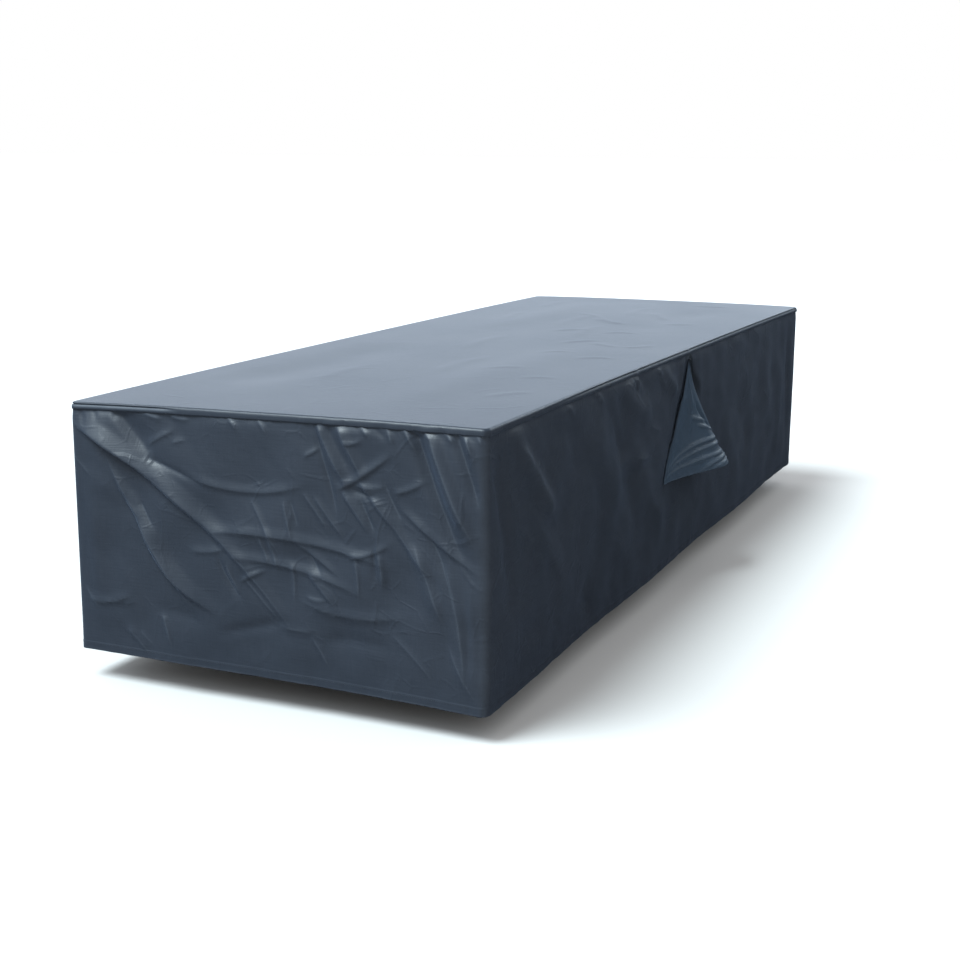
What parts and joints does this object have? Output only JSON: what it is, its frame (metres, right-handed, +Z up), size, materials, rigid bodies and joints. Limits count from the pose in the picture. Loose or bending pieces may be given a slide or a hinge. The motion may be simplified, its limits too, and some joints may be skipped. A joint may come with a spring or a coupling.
{
  "type": "lounge chair cover",
  "caption": "Fitted box-shaped cover for a lounge chair in coated cloth, open underneath, with a triangular vent hood in the middle of one long side.",
  "frame": {"origin": "on the underside of the top panel, at its middle, where the lounger carries the cover", "axes": "+X along the lounger to its head end, +Y to the plain long side, away from the vent hood, +Z up"},
  "size_m": [2.1274, 0.8498, 0.4498],
  "materials": {
    "cover_cloth": "dark blue-grey coated polyester, satin, with a fine plain weave",
    "hood_cloth": "the same coated polyester, seen a little bluer"
  },
  "bodies": {
    "root": {"top_panel": "cover_cloth", "near_skirt": "cover_cloth", "far_skirt": "cover_cloth", "vent_hood": "hood_cloth"}
  },
  "joints": []
}
